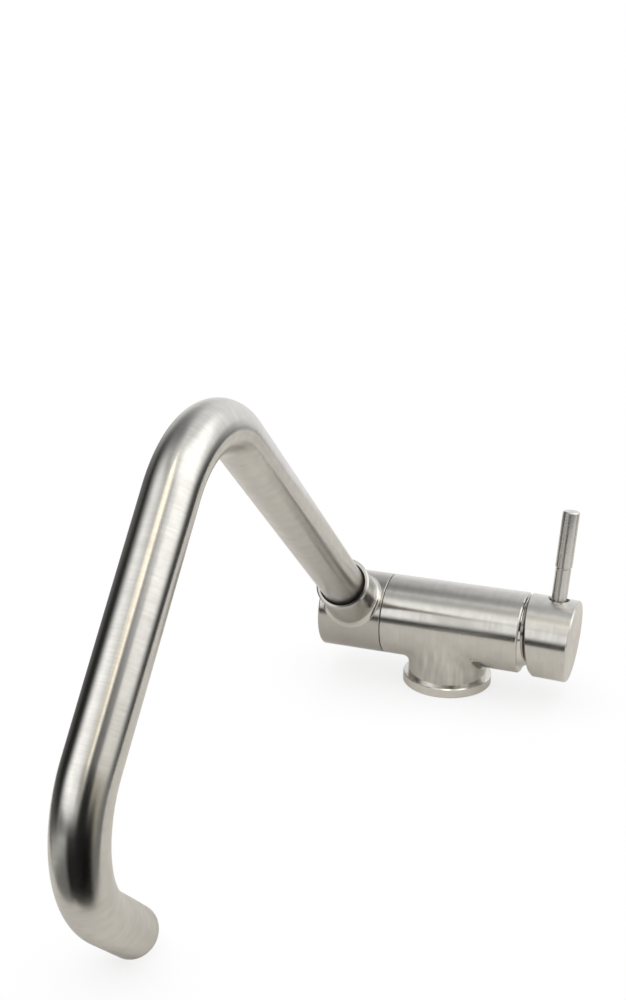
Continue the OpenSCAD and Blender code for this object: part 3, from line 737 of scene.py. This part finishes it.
@dataclass
class Weld:
    """The hollow rounding where a round branch is welded to a round barrel and dressed smooth.

    It is worked out about the branch's axis, which is Z here, with the barrel along X. Its side
    leg is how far it reaches from the joint along the barrel, and its front leg how far round
    the barrel. Beyond them a skirt runs out under the barrel's surface, and the last ring is
    sunk into the metal.
    """

    name: str
    body: str
    branch_r: float
    side_leg: float
    front_leg: float
    turn: Matrix
    centre: tuple[float, float, float]
    finish: Finish
    barrel_r: float = BARREL_R
    lip: float = 0.0
    skirt: float = 1.5
    depth: float = 0.1
    fullness: float = 0.62
    sunk: float = 0.8
    nudge: float = 0.01
    steps: int = 180
    arc_steps: int = 8
    skirt_shares: tuple[float, ...] = (1.0, 0.6, 0.3)

    def section(self, angle: float) -> list[Vector]:
        """Give the rounding's section at one angle about the branch.

        Args:
            angle: Angle about the branch's axis in radians.

        Returns:
            Points from under the barrel's surface to the branch's, then one inside the metal.
        """
        r, big = self.branch_r, self.barrel_r
        leg = self.side_leg + (self.front_leg - self.side_leg) * math.sin(angle) ** 2
        turn = math.asin(r * math.sin(angle) / big)
        # The ways that lead off the joint on the barrel and on the branch, both unrolled flat
        along = Vector((r * math.cos(angle) / math.cos(turn), r * math.sin(angle))).normalized()
        slope = -r * r * math.sin(angle) * math.cos(angle) / (big * math.cos(turn))
        up = Vector((-slope, r)).normalized()

        def on_barrel(far: float, high: float = 0.0) -> Vector:
            """Give the point that is so far from the joint on the barrel, or so high above it."""
            at = turn + along.y * far / big
            return Vector((r * math.cos(angle) + along.x * far, (big + high) * math.sin(at),
                           (big + high) * math.cos(at)))

        def on_branch(far: float) -> Vector:
            """Give the point that is so far from the joint on the branch."""
            at = angle + up.x * far / r
            return Vector((r * math.cos(at), r * math.sin(at), big * math.cos(turn) + up.y * far))

        foot, top = on_barrel(leg, self.lip), on_branch(leg)
        pull = self.fullness * leg / self.nudge
        knees = (foot, foot + (on_barrel(leg - self.nudge, self.lip) - foot) * pull,
                 top + (on_branch(leg - self.nudge) - top) * pull, top)
        points = [on_barrel(leg + self.skirt * far, self.lip - (self.lip + self.depth) * far * far)
                  for far in self.skirt_shares]
        # A cubic curve between foot and top, which its two knees pull towards the joint
        for step in range(self.arc_steps + 1):
            t = step / self.arc_steps
            parts = ((1 - t) ** 3, 3 * t * (1 - t) ** 2, 3 * t * t * (1 - t), t ** 3)
            points.append(sum((knee * part for knee, part in zip(knees, parts)), Vector()))
        inner, core = r - self.sunk, big - self.sunk
        points.append(Vector((inner * math.cos(angle), inner * math.sin(angle),
                              math.sqrt(core * core - (inner * math.sin(angle)) ** 2))))
        return points

    def build(self) -> list[Object]:
        """Bridge the rings of the rounding and put it in place.

        Returns:
            The rounding alone.
        """
        shape = bmesh.new()
        sections = [self.section(math.tau * step / self.steps) for step in range(self.steps)]
        rings = [[shape.verts.new(point) for point in ring] for ring in zip(*sections)]
        loops = [[shape.edges.new((ring[at - 1], ring[at])) for at in range(self.steps)]
                 for ring in rings]
        for number, loop in enumerate(loops):
            bmesh.ops.bridge_loops(shape, edges=loops[number - 1] + loop)
        place = (Matrix.Translation(Vector(self.centre) * MM) @ self.turn.to_4x4()
                 @ Matrix.Scale(MM, 4))
        bmesh.ops.transform(shape, matrix=place, verts=shape.verts[:])
        bmesh.ops.recalc_face_normals(shape, faces=shape.faces[:])
        return [new_piece(self.name, shape, self.finish, self.body)]


@dataclass
class Head:
    """The folding head: its socket's weld."""

    leg: float = 2.2
    lip: float = 0.1
    skirt: float = 0.35

    def build(self) -> list[Object]:
        """Make the weld round the socket and return it."""
        return Weld("socket_weld", "head", SOCKET_R, self.leg, self.leg,
                    Matrix.Rotation(math.radians(FOLD), 3, "X"), (SOCKET_X, 0, AXIS_H), WELD_STEEL,
                    lip=self.lip, skirt=self.skirt).build()


@dataclass
class Body:
    """The fixed barrel on its pillar: the weld between the two, in the barrel's own finish."""

    side_leg: float = 3.2
    front_leg: float = 7.0

    def build(self) -> list[Object]:
        """Make the weld round the pillar, which hangs below the barrel, and return it."""
        return Weld("pillar_weld", "body", PILLAR_R, self.side_leg, self.front_leg,
                    Matrix.Rotation(math.pi, 3, "X"), (0, 0, AXIS_H), BODY_STEEL).build()


@dataclass(frozen=True)
class Glow:
    """One soft-edged area of the studio as the tap sees it, in degrees round and above the horizon.

    It is counted round from straight ahead, with plus to the right, and can be rolled.
    """

    name: str
    bearing: float
    above: float
    width: float
    height: float
    soft: float
    light: tuple[float, float, float]
    roll: float = 0.0


@dataclass
class Studio:
    """A plain pale table in a studio with large soft lights, and a camera at the photo's angle."""

    lens_mm: float = 52.445
    sensor_mm: float = 36.0
    clip_m: tuple[float, float] = (0.01, 50.0)
    shift: tuple[float, float] = (0.0126, 0.2053)
    azimuth: float = 20.721
    elevation: float = 27.007
    distance_mm: float = 875.526
    aside_mm: float = -87.983
    raised_mm: float = -15.895
    ceiling: tuple[float, float, float] = (0.89, 0.89, 0.87)
    dark_room: tuple[float, float, float] = (0.19, 0.19, 0.18)
    horizon: tuple[float, float] = (-0.05, 0.15)
    glows: tuple[Glow, ...] = (
        Glow("backdrop", 183, 15, 64, 83, 18, (0.98, 0.98, 0.97), 9),
        Glow("grey_wall_left", -126, 50, 43, 58, 32, (0.24, 0.24, 0.24), 2),
        Glow("wall_right_low", 69, 15, 54, 35, 22, (0.46, 0.42, 0.34), -42),
        Glow("dark_wall_left", -90, 14, 70, 48, 34, (0.015, 0.015, 0.015), -12),
        Glow("dark_wall_low", -126, -6, 68, 11, 11, (0.18, 0.18, 0.18), 54),
        Glow("floor_front_left", -42, -12, 92, 13, 13, (0.60, 0.60, 0.56), 20),
        Glow("soft_light_left", -38, 34, 41, 38, 27, (1.65, 1.64, 1.61)),
        Glow("cream_screen", 14, 67, 13, 35, 4, (2.4, 2.2, 1.8)),
        Glow("grey_screen", 9, 38, 15, 42, 12, (0.49, 0.48, 0.42), 7),
        Glow("soft_light_right", 102, 45, 63, 49, 21, (1.77, 1.77, 1.73), -49),
        Glow("dark_gap_right", 134, -11, 41, 13, 5, (0.0, 0.0, 0.0), -16),
        Glow("dark_room_front", 25, -26, 80, 73, 17, (0.0, 0.0, 0.0)),
        Glow("dark_door_front", 27, 4, 35, 105, 12, (0.01, 0.01, 0.01), -25),
        Glow("strip_light_front", -17, 26, 20, 22, 10, (1.35, 1.34, 1.31)),
        Glow("grey_screen_top", -48, 70, 26, 14, 8, (0.5, 0.5, 0.48)),
        Glow("skirting_front", -20, 2.5, 64, 9, 4, (0.0, 0.0, 0.0)),
        Glow("panel_gap", -22, 38.5, 34, 2.5, 2.5, (0.8, 0.8, 0.78)),
    )
    room_r_m: float = 12.0
    room_sides: tuple[int, int] = (48, 24)
    room_centre_mm: tuple[float, float, float] = (-30, -170, 90)
    unseen_world: tuple[float, float, float] = (0.5, 0.5, 0.5)
    table: tuple[tuple[float, float], ...] = (
        (-285, -205), (-225, -345), (-60, -400), (80, -325),
        (275, -235), (365, -80), (395, 415), (-295, 415))
    table_drop_mm: float = 0.2
    table_fade_mm: float = 70.0
    table_colour: str = "#e0ddd8"
    table_shade: str = "#dad7d2"
    table_clouds_per_m: float = 6.0
    # The table's painted glow: an even light of its own, added on top of its lit paint
    table_painted_glow: tuple[float, float, float] = (0.14, 0.135, 0.126)
    card_r_mm: float = 130.0
    card_turns: tuple[float, float] = (10, 100)
    card_heights_mm: tuple[float, float] = (35, 90)
    card_steps: int = 16
    card_light: tuple[float, float, float] = (0.8, 0.79, 0.78)
    floor: tuple[tuple[float, float], ...] = ((-450, -440), (450, -440), (450, 450), (-450, 450))
    floor_fade_mm: float = 60.0
    shadow_reach_mm: float = 70.0
    shadow_from: float = 0.12
    shadow_depth: float = 0.4
    shadow_grey: tuple[float, float, float] = (0.45, 0.44, 0.43)

    def camera(self) -> None:
        """Put the camera at the photo's angle."""
        data = bpy.data.cameras.new("camera")
        data.lens = self.lens_mm
        data.sensor_fit = "AUTO"
        data.sensor_width = self.sensor_mm
        data.shift_x, data.shift_y = self.shift
        data.clip_start, data.clip_end = self.clip_m
        a, e = math.radians(self.azimuth), math.radians(self.elevation)
        back = Vector((math.sin(a) * math.cos(e), -math.cos(a) * math.cos(e), math.sin(e)))
        right = Vector((math.cos(a), math.sin(a), 0))
        up = back.cross(right)
        eye = back * self.distance_mm + right * self.aside_mm + up * self.raised_mm
        turn = Matrix((right, up, back)).transposed().to_4x4()
        thing = bpy.data.objects.new("camera", data)
        bpy.context.scene.collection.objects.link(thing)
        thing.matrix_world = Matrix.Translation(eye * MM) @ turn
        bpy.context.scene.camera = thing

    def paint(self, tree: NodeTree, colour: NodeSocket, look: NodeSocket,
              glow: Glow) -> NodeSocket:
        """Lay one area of the studio over what is there.

        Args:
            tree: The node tree of the room's material.
            colour: The studio's light so far.
            look: The direction as degrees round and above the horizon.
            glow: The area to lay over it.

        Returns:
            The studio's light with the area in it.
        """
        off = add(tree, "VectorMath", {0: look, 1: (glow.bearing, glow.above, 0)},
                  operation="SUBTRACT").outputs[0]
        # Only the way round wraps: the two other ranges are wider than their values ever get
        off = add(tree, "VectorMath", {0: off, 1: (180, 200, 200), 2: (-180, -200, -200)},
                  operation="WRAP").outputs[0]
        narrow = math.cos(math.radians(glow.above))
        off = add(tree, "VectorMath", {0: off, 1: (narrow, 1, 0)}, operation="MULTIPLY").outputs[0]
        off = add(tree, "VectorRotate", {"Vector": off, "Angle": -math.radians(glow.roll)},
                  rotation_type="Z_AXIS").outputs[0]
        off = add(tree, "VectorMath", {0: off}, operation="ABSOLUTE").outputs[0]
        apart = add(tree, "SeparateXYZ", {0: off})
        masks = [add(tree, "MapRange", {
            "Value": apart.outputs[axis], "From Min": half - glow.soft / 2,
            "From Max": half + glow.soft / 2, "To Min": 1.0, "To Max": 0.0,
        }, interpolation_type="SMOOTHSTEP").outputs[0]
            for axis, half in (("X", glow.width / 2), ("Y", glow.height / 2))]
        mask = add(tree, "Math", {0: masks[0], 1: masks[1]}, operation="MULTIPLY").outputs[0]
        return add(tree, "Mix", {0: mask, COLOUR_A: colour, COLOUR_B: (*glow.light, 1)},
                   data_type="RGBA", label=glow.name).outputs[COLOUR_OUT]

    def room_material(self) -> Material:
        """Build paper screens, soft lights and dark walls, each glowing at its own level.

        Returns:
            The material, whose glow depends on the direction from the room's middle.
        """
        done, tree = blank_material("studio_walls")
        way = add(tree, "VectorMath", {0: add(tree, "TexCoord").outputs["Object"],
                                       1: Vector(self.room_centre_mm) * MM},
                  operation="SUBTRACT").outputs[0]
        way = add(tree, "VectorMath", {0: way}, operation="NORMALIZE").outputs[0]
        way = add(tree, "SeparateXYZ", {0: way})
        forward = add(tree, "Math", {0: way.outputs["Y"], 1: -1.0},
                      operation="MULTIPLY").outputs[0]
        turn = add(tree, "Math", {0: way.outputs["X"], 1: forward}, operation="ARCTAN2").outputs[0]
        rise = add(tree, "Math", {0: way.outputs["Z"]}, operation="ARCSINE").outputs[0]
        look = add(tree, "CombineXYZ", {"X": turn, "Y": rise}).outputs[0]
        look = add(tree, "VectorMath", {0: look, "Scale": math.degrees(1)},
                   operation="SCALE").outputs[0]
        above = add(tree, "MapRange", {"Value": way.outputs["Z"], "From Min": self.horizon[0],
                                       "From Max": self.horizon[1]}).outputs[0]
        colour = add(tree, "Mix", {0: above, COLOUR_A: (*self.dark_room, 1),
                                   COLOUR_B: (*self.ceiling, 1)},
                     data_type="RGBA").outputs[COLOUR_OUT]
        for glow in self.glows:
            colour = self.paint(tree, colour, look, glow)
        shine = add(tree, "Emission", {"Color": colour, "Strength": 1.0})
        add(tree, "OutputMaterial", {"Surface": shine.outputs[0]})
        return done

    def light(self) -> Object:
        """Build the room round the tap, and a white world for the camera, metal and glass.

        Returns:
            The room, which lights the tap and which the camera looks through.
        """
        shape = bmesh.new()
        u_segments, v_segments = self.room_sides
        bmesh.ops.create_uvsphere(shape, u_segments=u_segments, v_segments=v_segments,
                                  radius=self.room_r_m)
        bmesh.ops.translate(shape, vec=Vector(self.room_centre_mm) * MM, verts=shape.verts[:])
        room = self.stage_piece("studio_room", shape, self.room_material())
        room.visible_camera = False
        world = bpy.data.worlds.new("white")
        world.use_nodes = True
        bpy.context.scene.world = world
        tree = world.node_tree
        tree.nodes.clear()
        path = add(tree, "LightPath")
        seen = path.outputs["Is Camera Ray"]
        for ray in ("Is Glossy Ray", "Is Transmission Ray"):
            seen = add(tree, "Math", {0: seen, 1: path.outputs[ray]},
                       operation="MAXIMUM").outputs[0]
        shown = add(tree, "Mix", {0: seen, COLOUR_A: (*self.unseen_world, 1),
                                  COLOUR_B: (1, 1, 1, 1)},
                    data_type="RGBA").outputs[COLOUR_OUT]
        background = add(tree, "Background", {"Color": shown, "Strength": 1.0})
        add(tree, "OutputWorld", {"Surface": background.outputs[0]})
        return room

    def table_material(self) -> Material:
        """Build the table top as the tap reflects it: a matt warm paint, faintly clouded, with a
        painted glow.

        Returns:
            The material, which fades out towards the table's rim.
        """
        done, tree = blank_material("painted_table_top")
        cloud = add(tree, "TexNoise", {"Vector": add(tree, "TexCoord").outputs["Object"],
                                       "Scale": self.table_clouds_per_m, "Detail": 2.0}
                    ).outputs["Fac"]
        colour = add(tree, "Mix", {0: cloud, COLOUR_A: linear(self.table_shade),
                                   COLOUR_B: linear(self.table_colour)},
                     data_type="RGBA").outputs[COLOUR_OUT]
        matt = add(tree, "BsdfDiffuse", {"Color": colour}).outputs[0]
        # Painted glow: the table gives off an even light of its own, which fills in the shade that
        # the tap casts on it
        lift = add(tree, "Emission", {"Color": (*self.table_painted_glow, 1), "Strength": 1.0}).outputs[0]
        solid = add(tree, "AddShader", {0: matt, 1: lift}).outputs[0]
        clear = add(tree, "BsdfTransparent").outputs[0]
        inner = add(tree, "Attribute", attribute_name="inner").outputs["Fac"]
        seen = add(tree, "MixShader", {0: inner, 1: clear, 2: solid}).outputs[0]
        add(tree, "OutputMaterial", {"Surface": seen})
        return done

    def fill_card(self) -> Object:
        """Stand a curved white card in front of the lever, which only its shine shows.

        Returns:
            The card.
        """
        white, tree = blank_material("white_card")
        shine = add(tree, "Emission", {"Color": (*self.card_light, 1), "Strength": 1.0})
        add(tree, "OutputMaterial", {"Surface": shine.outputs[0]})
        # The card's turns are counted from straight ahead, which is -Y
        first, last = (math.radians(turn - 90) for turn in self.card_turns)
        lever = Vector((LEVER_PIVOT_X + ROD_X, 0, 0))
        edge = Vector((math.cos(first), math.sin(first), 0)) * self.card_r_mm + lever
        shape = bmesh.new()
        ends = [shape.verts.new((edge + Vector((0, 0, height))) * MM)
                for height in self.card_heights_mm]
        bmesh.ops.spin(shape, geom=[*ends, shape.edges.new(ends)], cent=lever * MM,
                       axis=(0, 0, 1), angle=last - first, steps=self.card_steps,
                       use_duplicate=False)
        card = self.stage_piece("fill_card", shape, white)
        card.visible_camera = card.visible_diffuse = card.visible_shadow = False
        return card

    def floor_material(self) -> Material:
        """Build a clear sheet that only darkens where the tap stands close above it.

        Returns:
            The material, through which the white background shows.
        """
        done, tree = blank_material("white_studio_floor")
        open_sky = add(tree, "AmbientOcclusion", {"Distance": self.shadow_reach_mm * MM},
                       samples=8).outputs["AO"]
        hidden = add(tree, "Math", {0: 1.0, 1: open_sky}, operation="SUBTRACT").outputs[0]
        hidden = add(tree, "MapRange", {"Value": hidden, "From Min": self.shadow_from,
                                        "From Max": 1.0, "To Max": self.shadow_depth}).outputs[0]
        inner = add(tree, "Attribute", attribute_name="inner").outputs["Fac"]
        share = add(tree, "Math", {0: hidden, 1: inner}, operation="MULTIPLY").outputs[0]
        clear = add(tree, "BsdfTransparent").outputs[0]
        grey = add(tree, "Emission", {"Color": (*self.shadow_grey, 1), "Strength": 1.0}).outputs[0]
        seen = add(tree, "MixShader", {0: share, 1: clear, 2: grey}).outputs[0]
        add(tree, "OutputMaterial", {"Surface": seen})
        return done

    def stage_piece(self, name: str, shape: BMesh, material: Material) -> Object:
        """Turn a bmesh into a piece of the studio, which is no part of the tap.

        Args:
            name: The piece's name.
            shape: Its shape, in metres and in place.
            material: Its material.

        Returns:
            The new object.
        """
        thing = new_object(name, shape, material)
        return thing

    def sheet(self, name: str, outline: Sequence[tuple[float, float]], z: float, fade: float,
              material: Material) -> Object:
        """Lay a flat stage piece that fades out along its rim.

        Args:
            name: The piece's name.
            outline: Its corners in millimetres.
            z: Its height in millimetres.
            fade: How wide its fading rim is, in millimetres.
            material: A material that reads the attribute "inner", which is 0 on the outline.

        Returns:
            The piece.
        """
        shape = bmesh.new()
        top = shape.faces.new([shape.verts.new(Vector((x, y, z)) * MM) for x, y in outline])
        bmesh.ops.inset_individual(shape, faces=[top], thickness=fade * MM, use_even_offset=True)
        shape.verts.index_update()
        rim = {vert.index for vert in shape.verts if vert.is_boundary}
        piece = self.stage_piece(name, shape, material)
        inner = piece.data.attributes.new("inner", "FLOAT", "POINT")
        for vert in piece.data.vertices:
            inner.data[vert.index].value = 0.0 if vert.index in rim else 1.0
        return piece

    def build(self) -> list[Object]:
        """Set up camera, light and floor.

        Returns:
            The studio's pieces.
        """
        self.camera()
        room, card = self.light(), self.fill_card()
        table = self.sheet("table", self.table, -self.table_drop_mm, self.table_fade_mm,
                           self.table_material())
        table.visible_camera = False
        floor = self.sheet("studio_floor", self.floor, 0.0, self.floor_fade_mm,
                           self.floor_material())
        floor.visible_glossy = floor.visible_diffuse = False
        floor.visible_transmission = floor.visible_shadow = False
        bpy.context.scene.view_settings.view_transform = "Standard"
        return [room, card, table, floor]


def main() -> None:
    """Build the studio and the tap's pieces."""
    logging.basicConfig(level=logging.INFO, format="%(message)s")
    for part in (Studio(), CadParts(), Head(), Body(), SpoutTube()):
        for piece in part.build():
            log.info("%s: %d faces in %s", piece.name, len(piece.data.polygons),
                     piece.data.materials[0].name)


if __name__ == "__main__":
    main()
